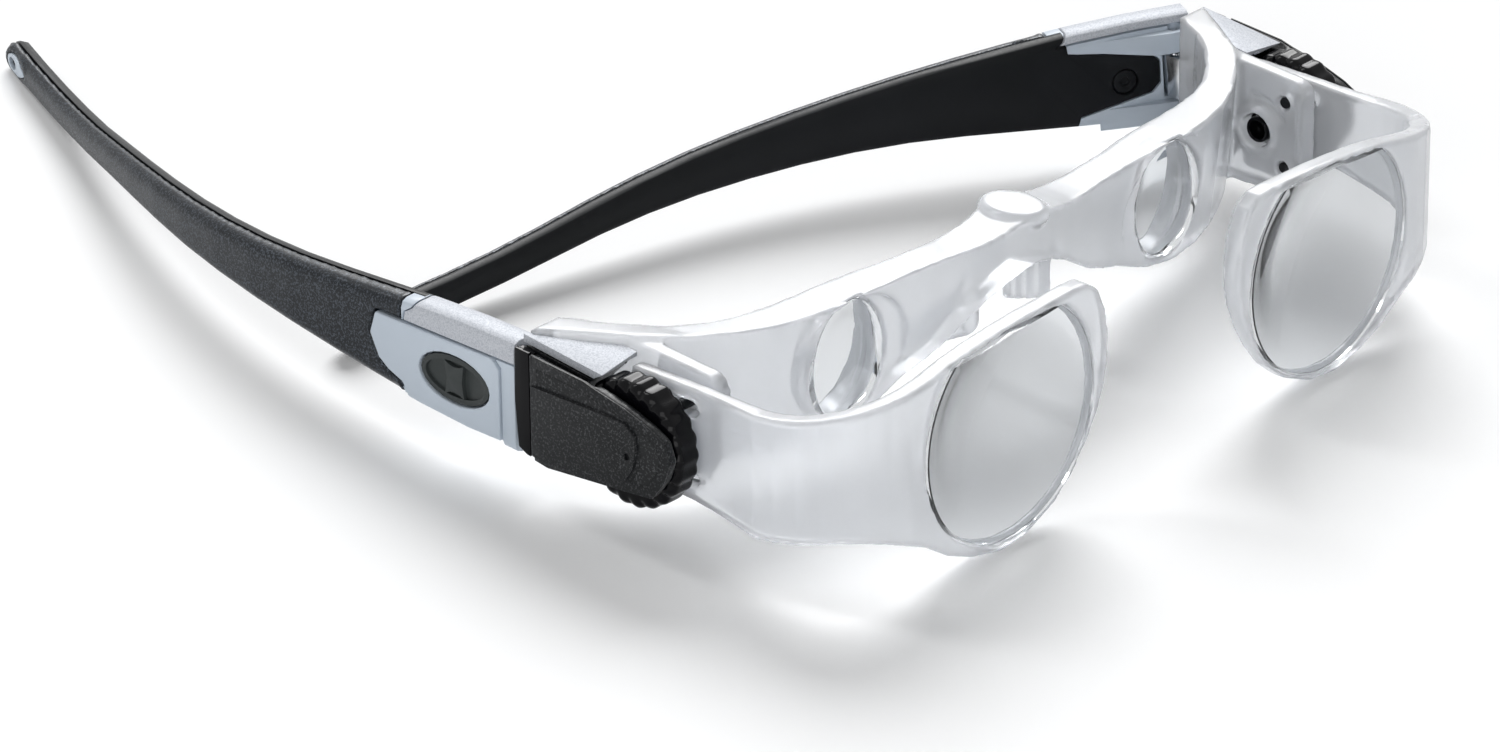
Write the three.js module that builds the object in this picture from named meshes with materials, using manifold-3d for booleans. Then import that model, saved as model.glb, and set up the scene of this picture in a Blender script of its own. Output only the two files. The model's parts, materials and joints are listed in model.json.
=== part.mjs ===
// Binocular glasses: a clear frame with two lenses by the eyes, two large front lenses
// on sliding arms, a knurled focusing wheel on each side and two folding temples.
// Lengths in millimetres. X runs to the wearer's left, Y to the rear, Z up. Shapes are
// written for the left side, about the midpoint of the two eyepiece lenses.
import * as THREE from 'three';
import { mergeVertices } from 'three/addons/utils/BufferGeometryUtils.js';
import Module from 'manifold-3d';

// Clearances
const seatGap = 0.3;
const runningGap = 0.4;
const overrun = 4;

// Facets
const arcSteps = 4;
const ovalSteps = 26;
const pinSteps = 12;
const profileSteps = 15;
const templeSteps = 16;
const pocketSteps = 39;
const inlaySteps = 24;
const carrierBendSteps = 8;
const frontLensSteps = 36;
const lobeSteps = 4;

// Optics
const lensSpacing = 64;
const eyeOpeningWidth = 13.9;
const eyeOpeningHeight = 17.2;
const eyeSurroundWidth = 20.5;
const eyeSurroundHeight = 17.9;
const eyeSurroundDepth = 0.7;
const eyeLensThickness = 2.6;
const eyeLensHollow = 0.7;
const eyeSeatLip = 0.6;
const eyeSeatSlack = 1.2;
const frontLensRadius = 16.4;
const frontLensEdge = 1.5;
const frontLensBulge = 1.6;
const frontLensBackBulge = 1;
const frontSeatLip = 0.9;
const frontFaceDistance = 28.5;

// Layers from the side bracket outwards
const bracketOffset = 57.5;
const bracketThickness = 2.5;
const slideThickness = 2.4;
const wheelThickness = 4.4;
const coverThickness = 2.1;

// Eyepiece frame
const plateTop = 9.2;
const plateDrop = 9.8;
const plateLean = 0.12;
const wingReach = 21.2;
const wingInset = 0.9;
const bridgeLandWidth = 6.4;
const bridgeLandDepth = 8.6;
const bridgeLandTop = 11;
const bridgeLandAhead = 1.4;
const noseWingThickness = 1.8;
const noseWingLength = 11;
const noseWingHeight = 9;
const noseWingFlare = 22;
const noseWingSpacing = 14.6;

// Side bracket and focusing drive
const axleBehind = 4.2;
const axleBelow = 0.4;
const axleDiameter = 2;
const wheelRadius = 8.8;
const wheelLobes = 22;
const wheelLobeDepth = 1.1;
const wheelRim = 0.7;
const toothModule = 0.5;
const pinionTeeth = 8;
const slideTravel = 2;
const bracketAhead = 8.2;
const bracketRise = 9.1;
const guidePinDiameter = 1.6;
const guidePinSpacing = 9.6;
const guidePinAhead = 4.5;
const journalWall = 0.9;
const boreRimWidth = 0.9;
const boreRimHeight = 0.5;
const arcGrooveWidth = 1.3;
const arcGrooveDepth = 0.6;

// Objective carrier
const carrierThickness = 3;
const carrierCorner = 15.5;
const noseStrip = 2.4;
const frontRise = 13.9;
const frontDrop = 17.5;
const topRim = 0.8;

// Housing block
const housingDrop = 6.9;
const capHeight = 9;
const capThickness = 1.1;
const capSlopeAlong = 0.114;
const capSlopeAcross = 0.095;
const nameplateRaise = 0.4;
const wheelPocketGap = 0.5;

// Hinge
const hingeInset = 4;
const hingeBehind = 3.2;
const hingePinDiameter = 1.2;
const knuckleDiameter = 3.2;
const knuckleHeight = 6;
const leafThickness = 1.2;
const leafDepth = 3;
const leftPinLean = 4;
const rightPinLean = 6;
const leftFold = 59;

// Temples
const buttGap = 0.9;
const templeSetback = 1;
const templeLength = 127.4;
const tipInset = 32.1;
const clipThickness = 4.5;
const tipThickness = 3.4;
const clipHeight = 15.4;
const edgeRound = 1.1;
const shellLength = 20;
const shellWall = 1;
const shellTop = 1.2;
const seamHeight = 5.5;
const panelRaise = 0.3;
const panelDepth = 1.1;
const panelStart = 2.6;
const panelTail = 5.7;
const panelDrop = 6;
const buttonWidth = 12;
const buttonHeight = 6.4;
const buttonBehind = 10.6;
const buttonThickness = 1.1;
const buttonTravel = 0.9;
const buttonDish = 0.5;
const linerThickness = 1.65;
const linerGap = 0.2;
const tongueStart = 4.7;
const tongueTipHeight = 5.6;
const tongueRootHeight = 9.2;
const tongueRound = 1.3;
const screwHeadDiameter = 3.4;
const screwShankDiameter = 1.4;
const screwBehind = 9.7;
const screwHead = 0.9;
const screwSocket = 1.5;
const socketDepth = 0.63;
const socketSides = 6;
const ridgeDepth = 1.6;
const ridgeWidth = 3;
const ridgeLength = 13;
const tipHoleWidth = 2.6;
const tipHoleHeight = 1.7;
const tipHoleFromEnd = 2.8;
const inlayLength = 6.4;
const inlayHeight = 3.2;
const inlayDepth = 0.6;
const easeLimit_share = 0.4;

// Sizes that follow
const lensOffset = lensSpacing / 2;
const slideInner = bracketOffset + bracketThickness + runningGap;
const slideOuter = slideInner + slideThickness;
const wheelInner = slideOuter + runningGap;
const wheelOuter = wheelInner + wheelThickness;
const coverInner = wheelOuter + seatGap;
const coverOuter = coverInner + coverThickness;
const wingOffset = coverInner - wingInset;
const pitchRadius = toothModule * pinionTeeth / 2;
const pinionRadius = pitchRadius + toothModule;
const journalRadius = pinionRadius - seatGap;
const boreRadius = journalRadius + seatGap;
const templeOuter = coverOuter - templeSetback;
const templeMiddle = templeOuter - clipThickness / 2;
const templeInner = templeOuter - clipThickness;
const buttY = wingReach + buttGap;
const hingeX = templeOuter - hingeInset;
const hingeY = wingReach + hingeBehind;
const bracketFront = axleBehind - bracketAhead;
const bracketDrop = bracketRise * 0.9;
const pinRise = clipHeight * 0.415;
const pinDrop = clipHeight * 0.35;
const blockStart = wingReach * 0.436;
const capStart = wingReach * 0.406;
const capOuter = coverOuter - templeSetback * 1.5;
const capRear = wingReach + buttGap / 2;
const panelLength = shellLength + panelTail - panelStart;

// Finishes
const finish = {
  clear: { color: 0xe9edf0, roughness: 0.5, metalness: 0 },
  lens: { color: 0xdfe5ea, roughness: 0.05, metalness: 0 },
  silver: { color: 0xb4bbc4, roughness: 0.35, metalness: 0.6 },
  blueGrey: { color: 0xb9c4cf, roughness: 0.45, metalness: 0 },
  graphite: { color: 0x3a3f47, roughness: 0.45, metalness: 0.3 },
  black: { color: 0x16171a, roughness: 0.5, metalness: 0 },
  gloss: { color: 0x0c0c0e, roughness: 0.2, metalness: 0 },
  darkGrey: { color: 0x4a4f52, roughness: 0.5, metalness: 0 },
  steel: { color: 0xc9ccd0, roughness: 0.2, metalness: 1 },
};

const wasm = await Module();
wasm.setup();

// Solids and geometries

function signedVolume(points, triangles) {
  const a = new THREE.Vector3();
  const b = new THREE.Vector3();
  const c = new THREE.Vector3();
  let total = 0;
  for (let i = 0; i < triangles.length; i += 3) {
    a.fromArray(points, triangles[i] * 3);
    b.fromArray(points, triangles[i + 1] * 3);
    c.fromArray(points, triangles[i + 2] * 3);
    total += a.dot(b.cross(c));
  }
  return total;
}

function solid(geometry) {
  const bare = geometry.clone();
  bare.deleteAttribute('normal');
  bare.deleteAttribute('uv');
  const merged = mergeVertices(bare);
  const points = merged.attributes.position.array;
  const kept = [];
  for (let i = 0; i < merged.index.count; i += 3) {
    const [a, b, c] = merged.index.array.slice(i, i + 3);
    if (a !== b && b !== c && c !== a) {
      kept.push(a, b, c);
    }
  }
  if (signedVolume(points, kept) < 0) {
    kept.reverse();
  }
  return new wasm.Manifold(new wasm.Mesh({
    numProp: 3,
    vertProperties: new Float32Array(points),
    triVerts: new Uint32Array(kept),
  }));
}

function geometryOf(body) {
  const mesh = body.getMesh();
  const geometry = new THREE.BufferGeometry();
  const points = new Float32Array(mesh.vertProperties);
  geometry.setAttribute('position', new THREE.BufferAttribute(points, 3));
  geometry.setIndex(new THREE.BufferAttribute(new Uint32Array(mesh.triVerts), 1));
  return geometry;
}

function joined(...bodies) {
  return bodies.reduce((sum, body) => sum.add(body));
}

function cut(body, ...tools) {
  return tools.reduce((rest, tool) => rest.subtract(tool), body);
}

// A flat outline carried along X, Y or Z from one place to another
const carriedAlong = {
  x: (u, v, w) => [w, u, v],
  y: (u, v, w) => [u, w, v],
  z: (u, v, w) => [u, v, w],
};

function prism(outline, axis, from, to) {
  const ready = outline instanceof THREE.Shape;
  const shape = ready ? outline : new THREE.Shape(outline.map(([u, v]) => new THREE.Vector2(u, v)));
  const geometry = new THREE.ExtrudeGeometry(shape, {
    depth: to - from,
    bevelEnabled: false,
    curveSegments: arcSteps,
  });
  const place = geometry.attributes.position;
  for (let i = 0; i < place.count; i += 1) {
    const [x, y, z] = carriedAlong[axis](place.getX(i), place.getY(i), place.getZ(i) + from);
    place.setXYZ(i, x, y, z);
  }
  return solid(geometry);
}

function box(x0, x1, y0, y1, z0, z1) {
  return prism([[x0, y0], [x1, y0], [x1, y1], [x0, y1]], 'z', z0, z1);
}

function oval(u, v, width, height, steps = ovalSteps) {
  const points = [];
  for (let i = 0; i < steps; i += 1) {
    const turn = i / steps * 2 * Math.PI;
    points.push([u + width / 2 * Math.cos(turn), v + height / 2 * Math.sin(turn)]);
  }
  return points;
}

function rounded(u0, u1, v0, v1, radius) {
  const shape = new THREE.Shape();
  shape.moveTo(u0 + radius, v0);
  shape.lineTo(u1 - radius, v0);
  shape.absarc(u1 - radius, v0 + radius, radius, -Math.PI / 2, 0);
  shape.lineTo(u1, v1 - radius);
  shape.absarc(u1 - radius, v1 - radius, radius, 0, Math.PI / 2);
  shape.lineTo(u0 + radius, v1);
  shape.absarc(u0 + radius, v1 - radius, radius, Math.PI / 2, Math.PI);
  shape.lineTo(u0, v0 + radius);
  shape.absarc(u0 + radius, v0 + radius, radius, Math.PI, Math.PI * 1.5);
  return shape;
}

function smooth(points, steps) {
  const curve = new THREE.SplineCurve(points.map(([u, v]) => new THREE.Vector2(u, v)));
  return curve.getPoints(steps).map((point) => [point.x, point.y]);
}

function scaled(shares, width, height, u = 0, v = 0) {
  return shares.map(([a, b]) => [u + a * width, v + b * height]);
}

// Closed skin over rings of equal count, with a flat face on each end
function loft(rings) {
  const count = rings[0].length;
  const points = rings.flat(2);
  const triangles = [];
  for (let ring = 0; ring + 1 < rings.length; ring += 1) {
    for (let i = 0; i < count; i += 1) {
      const a = ring * count + i;
      const b = ring * count + (i + 1) % count;
      triangles.push(a, b, b + count, a, b + count, a + count);
    }
  }
  const last = (rings.length - 1) * count;
  for (let i = 1; i + 1 < count; i += 1) {
    triangles.push(0, i + 1, i, last, last + i, last + i + 1);
  }
  const geometry = new THREE.BufferGeometry();
  geometry.setAttribute('position', new THREE.Float32BufferAttribute(points, 3));
  geometry.setIndex(triangles);
  return solid(geometry);
}

// A rectangle with its corners eased, as a ring of section points
function easedSection(u0, u1, v0, v1, ease, steps) {
  if (ease === 0) {
    return [[u1, v1], [u0, v1], [u0, v0], [u1, v0]];
  }
  const points = [];
  const corners = [
    [u1 - ease, v1 - ease, 0],
    [u0 + ease, v1 - ease, 1],
    [u0 + ease, v0 + ease, 2],
    [u1 - ease, v0 + ease, 3],
  ];
  for (const [u, v, quarter] of corners) {
    for (let i = 0; i <= steps; i += 1) {
      const turn = (quarter + i / steps) * Math.PI / 2;
      points.push([u + ease * Math.cos(turn), v + ease * Math.sin(turn)]);
    }
  }
  return points;
}

// Eyepiece frame

const plateFront_shares = [
  [0, -0.275], [0.045, -0.267], [0.125, -0.226], [0.254, -0.165], [0.388, -0.132], [0.485, -0.14],
  [0.59, -0.092], [0.672, -0.014], [0.746, 0.104], [0.821, 0.264], [0.873, 0.415], [0.903, 0.528],
  [0.955, 0.778], [1, 1],
];
const plateRear_shares = [
  [0.922, 1], [0.9, 0.873], [0.866, 0.679], [0.806, 0.486], [0.731, 0.325], [0.657, 0.241], [0.582, 0.203],
  [0.485, 0.184], [0.403, 0.158], [0.299, 0.104], [0.149, 0.076], [0.06, 0.095], [0, 0.118],
];
const plateTop_shares = [
  [0, 1.16], [0.045, 1.12], [0.1, 1.03], [0.16, 0.99], [0.3, 1],
  [0.75, 1], [0.85, 1.07], [0.93, 1.1], [1.03, 1.1],
];
const plateBottom_shares = [
  [0, 0.33], [0.072, 0.2], [0.146, -0.06], [0.2, -0.31], [0.269, -0.51], [0.339, -0.67], [0.403, -0.86],
  [0.463, -0.97], [0.597, -1], [0.716, -0.94], [0.836, -0.87], [0.93, -0.74], [1.03, -0.7],
];

function mirroredOutline(half) {
  const other = half.map(([u, v]) => [-u, v]).reverse();
  const ends = other.filter(([u]) => u < 0);
  return [...half, ...ends];
}

function framePlate() {
  const front = smooth(scaled(plateFront_shares, wingOffset, wingReach), profileSteps);
  const rear = smooth(scaled(plateRear_shares, wingOffset, wingReach), profileSteps);
  const around = mirroredOutline([...front, ...rear]);
  const plan = prism(around, 'z', -plateDrop - overrun, bridgeLandTop + overrun);
  const leaning = geometryOf(plan);
  const place = leaning.attributes.position;
  for (let i = 0; i < place.count; i += 1) {
    const share = 1 - Math.min(1, Math.abs(place.getY(i)) / wingReach);
    place.setY(i, place.getY(i) + plateLean * share * (plateTop - place.getZ(i)));
  }
  const top = smooth(scaled(plateTop_shares, wingOffset, plateTop), profileSteps);
  const bottom = smooth(scaled(plateBottom_shares, wingOffset, plateDrop), profileSteps);
  const outline = mirroredOutline([...bottom, ...top.reverse()]);
  return solid(leaning).intersect(prism(outline, 'y', -wingReach, wingReach * 2));
}

function eyeOpening(grow, from, to) {
  return prism(oval(lensOffset, 0, eyeOpeningWidth + grow, eyeOpeningHeight + grow), 'y', from, to);
}

const eyeFace_share = -0.13;
const eyeFaceY = eyeFace_share * wingReach;
const eyeSeatY = eyeFaceY + eyeSurroundDepth + eyeLensThickness + eyeSeatSlack;
const eyeRims_shares = [0.4, 0.8, 1];

function eyeCuts() {
  const surround = prism(
    oval(lensOffset, 0, eyeSurroundWidth, eyeSurroundHeight),
    'y',
    -wingReach,
    eyeFaceY + eyeSurroundDepth + plateLean * plateTop / 2,
  );
  return [surround, eyeOpening(0, -wingReach, eyeSeatY), eyeOpening(-eyeSeatLip * 2, -wingReach, wingReach)];
}

function eyepieceLens() {
  const width = eyeOpeningWidth - seatGap * 2;
  const height = eyeOpeningHeight - seatGap * 2;
  const rings = [];
  const rearY = eyeSeatY - seatGap;
  const frontY = rearY - eyeLensThickness;
  const ringAt = (share, y) => oval(lensOffset, 0, width * share, height * share).map(([x, z]) => [x, y, z]);
  for (const share of eyeRims_shares) {
    rings.push(ringAt(share, frontY + eyeLensHollow * (1 - share * share)));
  }
  for (const share of [...eyeRims_shares].reverse()) {
    rings.push(ringAt(share, rearY - eyeLensHollow * (1 - share * share)));
  }
  return loft(rings);
}

// Outlines as shares of a length and a height: one pair is a straight side, two are a curve
const noseWing_shares = [
  [[-0.127, 0.45]],
  [[-0.127, -0.45]],
  [[-0.127, -0.62], [0.1, -0.7]],
  [[0.62, -0.98]],
  [[0.9, -1.05], [0.9, -0.8]],
  [[0.88, -0.42], [0.6, -0.2]],
  [[0.3, 0], [0.2, 0.45]],
];
const noseRibs_shares = [0.12, 0.4, 0.68];
const noseRib_share = 0.8;

function drawn(table, length, height, u = 0, v = 0) {
  const at = ([a, b]) => [u + a * length, v + b * height];
  const shape = new THREE.Shape();
  const [[start], ...sides] = table;
  shape.moveTo(...at(start));
  for (const [first, second] of sides) {
    if (second) {
      shape.quadraticCurveTo(...at(first), ...at(second));
    } else {
      shape.lineTo(...at(first));
    }
  }
  return shape;
}

function noseWing() {
  const shape = drawn(noseWing_shares, noseWingLength, noseWingHeight);
  const plate = prism(shape, 'x', -noseWingThickness / 2, noseWingThickness / 2);
  const room = prism(shape, 'x', -overrun, overrun);
  const reach = noseWingThickness * noseRib_share;
  const ribs = noseRibs_shares.map((share) => {
    const outline = oval(-noseWingThickness / 2, share * noseWingLength, reach, reach, arcSteps * 2);
    return prism(outline, 'z', -noseWingHeight * 2, noseWingHeight).intersect(room);
  });
  const geometry = geometryOf(joined(plate, ...ribs));
  geometry.rotateZ(-THREE.MathUtils.degToRad(noseWingFlare));
  geometry.translate(noseWingSpacing / 2, 0, 0);
  return solid(geometry);
}

const bridgeLand_shares = [[0, -0.42], [0.5, -0.42], [0.62, -0.2], [0.56, -0.05], [0.5, 0], [0, 0]];

function bridgeLand() {
  const points = bridgeLand_shares.map(([u, v]) => (
    new THREE.Vector2(u * bridgeLandWidth, v * bridgeLandWidth)
  ));
  const geometry = new THREE.LatheGeometry(points, ovalSteps);
  geometry.rotateX(Math.PI / 2);
  geometry.scale(1, bridgeLandDepth / bridgeLandWidth, 1);
  geometry.translate(0, -bridgeLandAhead, bridgeLandTop);
  return solid(geometry);
}

const bracketRear_share = 0.62;
const bracketPlate_shares = [
  [[1, -0.9]], [[0.19, -0.9]], [[0, -0.36]], [[0, 0.72]], [[0, 0.9], [0.12, 0.94]], [[1, 1.06]],
];

function bracketPlate() {
  const length = wingReach * bracketRear_share - bracketFront;
  const shape = drawn(bracketPlate_shares, length, bracketRise, bracketFront);
  return prism(shape, 'x', bracketOffset, bracketOffset + bracketThickness);
}

function guidePinPlaces() {
  return [1, -1].map((side) => [axleBehind - guidePinAhead, side * guidePinSpacing / 2]);
}

const frontRib_shares = [-0.34, 0.7];
const lowerStrip_shares = [0.17, 0.5];

function bracketDetails() {
  const inner = bracketOffset - boreRimHeight;
  const middle = bracketOffset + bracketThickness / 2;
  const width = (boreRadius + boreRimWidth) * 2;
  const [ribLow, ribHigh] = frontRib_shares.map((share) => share * bracketRise);
  const [stripFront, stripRear] = lowerStrip_shares.map((share) => share * wingReach);
  const rim = prism(oval(axleBehind, -axleBelow, width, width), 'x', inner, middle);
  const frontRib = box(inner, middle, bracketFront, bracketFront + boreRimWidth, ribLow, ribHigh);
  const strip = box(
    inner - boreRimHeight,
    middle,
    bracketFront + stripFront,
    stripRear,
    -bracketDrop,
    -bracketDrop + boreRimWidth,
  );
  return joined(rim, frontRib, strip);
}

// Where the curved groove over the bore starts and ends, as shares of half a turn
const arcGroove_shares = [0.42, 0.86];

function bracketCuts() {
  const inner = bracketOffset - overrun;
  const outer = bracketOffset + bracketThickness + runningGap / 2;
  const bore = prism(oval(axleBehind, -axleBelow, boreRadius * 2, boreRadius * 2), 'x', inner, outer);
  const holes = guidePinPlaces().map(([y, z]) => {
    const width = guidePinDiameter + seatGap * 2;
    return prism(oval(y, z, width, width, pinSteps), 'x', inner, outer);
  });
  const mid = boreRadius + boreRimWidth * 2 + arcGrooveWidth / 2;
  const groove = new THREE.Shape();
  const [first, last] = arcGroove_shares.map((share) => share * Math.PI);
  groove.absarc(axleBehind, -axleBelow, mid + arcGrooveWidth / 2, first, last, false);
  groove.absarc(axleBehind, -axleBelow, mid - arcGrooveWidth / 2, last, first, true);
  return [bore, ...holes, prism(groove, 'x', inner, bracketOffset + arcGrooveDepth)];
}

// Leaf and knuckle of the hinge, the leaf let into the wing's end
const leafInner = hingeX - knuckleDiameter / 2 - leafThickness / 4;
const leafEnd_shares = [[0.3, -0.3], [0, 0.4]];
const leafBack_share = 0.1;

function leafOutline(grow) {
  const root = wingReach - leafDepth - grow;
  return [
    [leafInner - grow, root],
    [leafInner + leafThickness + grow, root],
    [leafInner + leafThickness + grow, wingReach + buttGap / 2],
    ...scaled(leafEnd_shares, knuckleDiameter, knuckleDiameter, hingeX, hingeY),
    [leafInner - grow, hingeY - knuckleDiameter * leafBack_share],
  ];
}

function leaning(geometry, lean) {
  geometry.translate(-hingeX, 0, 0);
  geometry.rotateY(-THREE.MathUtils.degToRad(lean));
  geometry.translate(hingeX, 0, 0);
  return solid(geometry);
}

function hingeRod(diameter, from, to, lean) {
  return leaning(geometryOf(prism(oval(hingeX, hingeY, diameter, diameter, pinSteps), 'z', from, to)), lean);
}

function hingeLeaf(lean) {
  const half = knuckleHeight / 2;
  const plate = prism(leafOutline(0), 'z', -half, half);
  const knuckle = hingeRod(knuckleDiameter, -half, half, lean);
  const bore = hingeRod(hingePinDiameter + seatGap * 2, -overrun * 2, overrun * 2, lean);
  return cut(joined(plate, knuckle), bore);
}

function leafPocket() {
  const half = knuckleHeight / 2 + seatGap;
  const sides = [leafInner - seatGap, leafInner + leafThickness + seatGap];
  return box(...sides, wingReach - leafDepth - seatGap, wingReach + overrun, -half, half);
}

function eyepieceFrame() {
  const side = cut(joined(bracketPlate(), bracketDetails()), ...bracketCuts());
  const cuts = [...eyeCuts(), leafPocket()];
  const left = joined(side, noseWing());
  const body = joined(framePlate(), bridgeLand(), left, mirrored(left));
  return cut(body, ...cuts, ...cuts.map(mirrored));
}

function mirrored(body) {
  const geometry = geometryOf(body);
  geometry.scale(-1, 1, 1);
  return solid(geometry);
}

// Focusing drive

function wheelOutline() {
  const points = [];
  const steps = wheelLobes * lobeSteps;
  for (let i = 0; i < steps; i += 1) {
    const turn = i / steps * 2 * Math.PI;
    const wave = Math.abs(Math.cos(turn * wheelLobes / 2));
    const reach = wheelRadius - wheelRim - wheelLobeDepth * (1 - Math.sqrt(wave));
    points.push(new THREE.Vector2(reach * Math.cos(turn), reach * Math.sin(turn)));
  }
  return new THREE.Shape(points);
}

// A tooth's flanks: shares of half its pitch, and heights over the pitch circle in modules
const toothFlanks_shares = [[-0.8, -1.2], [-0.48, 0], [-0.2, 1], [0.2, 1], [0.48, 0], [0.8, -1.2]];

function gearOutline(radius, teeth, phase) {
  const points = [];
  const half = Math.PI / teeth;
  for (let tooth = 0; tooth < teeth; tooth += 1) {
    const middle = phase + tooth * 2 * half;
    for (const [turn, rise] of toothFlanks_shares) {
      const angle = middle + turn * half;
      const reach = radius + rise * toothModule;
      points.push([reach * Math.cos(angle), reach * Math.sin(angle)]);
    }
  }
  return points;
}

// The journal's width as a share of its root radius, so that it turns freely in the bore
const journalFit_share = 1.7;
const axleEnd = coverInner + coverThickness * 0.4;

function focusWheel() {
  const rim = new THREE.ExtrudeGeometry(wheelOutline(), {
    depth: wheelThickness - wheelRim * 2,
    bevelThickness: wheelRim,
    bevelSize: wheelRim,
    bevelSegments: 1,
  });
  const place = rim.attributes.position;
  for (let i = 0; i < place.count; i += 1) {
    const [x, y, z] = carriedAlong.x(place.getX(i), place.getY(i), place.getZ(i) + wheelInner + wheelRim);
    place.setXYZ(i, x, y, z);
  }
  const pinionPhase = -Math.PI / 2 + Math.PI / pinionTeeth;
  const teeth = gearOutline(pitchRadius, pinionTeeth, pinionPhase);
  const pinion = prism(teeth, 'x', slideInner - runningGap / 2, wheelInner + wheelRim);
  const width = journalRadius * journalFit_share;
  const bore = (journalRadius - journalWall) * journalFit_share;
  const room = axleDiameter + seatGap * 2;
  const journal = prism(oval(0, 0, width, width), 'x', bracketOffset, slideInner - runningGap / 4);
  const hollow = prism(oval(0, 0, bore, bore, pinSteps), 'x', bracketOffset - overrun, slideInner);
  const shaft = prism(oval(0, 0, room, room, pinSteps), 'x', 0, coverOuter);
  return cut(joined(solid(rim), pinion, journal), hollow, shaft);
}

function wheelAxle() {
  return prism(oval(0, 0, axleDiameter, axleDiameter, pinSteps), 'x', slideInner - runningGap, axleEnd);
}

function guidePin() {
  const outline = oval(0, 0, guidePinDiameter, guidePinDiameter, pinSteps);
  return prism(outline, 'x', bracketOffset + seatGap, slideOuter);
}

// Objective carrier: an eased section swept from the drive plate round the corner to the nose

const slidePlateMiddle = slideInner + slideThickness / 2;
const cornerX = slideOuter + runningGap * 1.5 - carrierCorner;
const frontMiddleY = -frontFaceDistance + carrierThickness / 2;
const cornerRadius = carrierCorner - carrierThickness / 2;
const cornerY = frontMiddleY + cornerRadius;
const noseX = lensOffset - frontLensRadius - noseStrip;
const tail_share = 0.7;
const tailY = axleBehind + slideTravel + pinionRadius * tail_share;
const tailStations_shares = [0, 0.5, 0.65, 0.8];
const frontStations_shares = [0.12, 0.25, 0.4, 0.55, 0.7, 0.8, 0.88, 0.94, 0.98, 1];

// Heights along the sweep, as shares of the rise and the drop of the front plate
const tailHeights_shares = [[0, 0.555, -0.423], [0.35, 0.56, -0.435], [0.75, 0.55, -0.5], [1, 0.55, -0.54]];
const cornerHeights_shares = [
  [0, 0.55, -0.54], [0.25, 0.59, -0.51], [0.5, 0.66, -0.48], [0.75, 0.74, -0.53], [1, 0.82, -0.66],
];
const frontHeights_shares = [
  [0, 0.82, -0.66], [0.12, 0.88, -0.82], [0.25, 0.93, -0.93], [0.4, 0.965, -1], [0.55, 0.99, -0.97],
  [0.7, 1, -0.84],
  [0.8, 1.01, -0.68], [0.88, 1, -0.48], [0.94, 0.9, -0.28], [0.98, 0.68, -0.08], [1, 0.4, 0.1],
];

function heightsAt(table, share) {
  const upper = new THREE.SplineCurve(table.map(([t, rise]) => new THREE.Vector2(t, rise)));
  const lower = new THREE.SplineCurve(table.map(([t, , drop]) => new THREE.Vector2(t, drop)));
  const find = (curve) => {
    let low = 0;
    let high = 1;
    for (let i = 0; i < 30; i += 1) {
      const middle = (low + high) / 2;
      if (curve.getPoint(middle).x < share) {
        low = middle;
      } else {
        high = middle;
      }
    }
    return curve.getPoint(low).y;
  };
  return [find(upper) * frontRise, find(lower) * frontDrop];
}

function carrierStations() {
  const stations = [];
  const bendStart = axleBehind - wheelRadius - slideTravel;
  for (const share of tailStations_shares) {
    const y = THREE.MathUtils.lerp(tailY, cornerY, share);
    const bend = THREE.MathUtils.smoothstep(bendStart - y, 0, bendStart - cornerY);
    stations.push({
      x: THREE.MathUtils.lerp(slidePlateMiddle, cornerX + cornerRadius, bend),
      y,
      turn: 0,
      thickness: THREE.MathUtils.lerp(slideThickness, carrierThickness, bend),
      heights: heightsAt(tailHeights_shares, share),
    });
  }
  for (let i = 0; i <= carrierBendSteps; i += 1) {
    const turn = i / carrierBendSteps * Math.PI / 2;
    stations.push({
      x: cornerX + cornerRadius * Math.cos(turn),
      y: cornerY - cornerRadius * Math.sin(turn),
      turn,
      thickness: carrierThickness,
      heights: heightsAt(cornerHeights_shares, i / carrierBendSteps),
    });
  }
  for (const share of frontStations_shares) {
    stations.push({
      x: THREE.MathUtils.lerp(cornerX, noseX, share),
      y: frontMiddleY,
      turn: Math.PI / 2,
      thickness: carrierThickness,
      heights: heightsAt(frontHeights_shares, share),
    });
  }
  return stations;
}

function carrierBlank() {
  const rings = carrierStations().map(({ x, y, turn, thickness, heights }) => {
    const [top, bottom] = heights;
    const section = easedSection(-thickness / 2, thickness / 2, bottom, top, runningGap, 1);
    return section.map(([out, z]) => [x + out * Math.cos(turn), y - out * Math.sin(turn), z]);
  });
  return loft(rings);
}

// A rack tooth: half widths as shares of the pitch, heights over the rack's line in modules
const rackTooth_shares = [[-0.36, -1.85], [0.36, -1.85], [0.08, 0.75], [-0.08, 0.75]];
const rackRoot_share = 1.25;
const rackEnd_share = 0.4;
const slideInnerCut = slideInner - overrun;
const slideOuterCut = slideOuter + overrun;

function driveSlot() {
  const rackLine = -axleBelow - pitchRadius;
  const bottom = rackLine - toothModule * rackRoot_share;
  const top = -axleBelow + pinionRadius + seatGap;
  const front = axleBehind - slideTravel - pinionRadius - toothModule * 2;
  const slot = rounded(front, tailY + overrun * 3, bottom, top, toothModule * 2);
  const pitch = Math.PI * toothModule;
  const teeth = [];
  const reach = Math.ceil(slideTravel / pitch) + 1;
  for (let i = -reach; i <= reach; i += 1) {
    const middle = axleBehind + i * pitch;
    if (middle + pitch * rackEnd_share < tailY) {
      teeth.push(scaled(rackTooth_shares, pitch, toothModule, middle, rackLine));
    }
  }
  const cavity = prism(slot, 'x', slideInnerCut, slideOuterCut);
  return cut(cavity, ...teeth.map((tooth) => prism(tooth, 'x', slideInnerCut, slideOuterCut)));
}

const slotCorner_share = 0.98;

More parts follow.
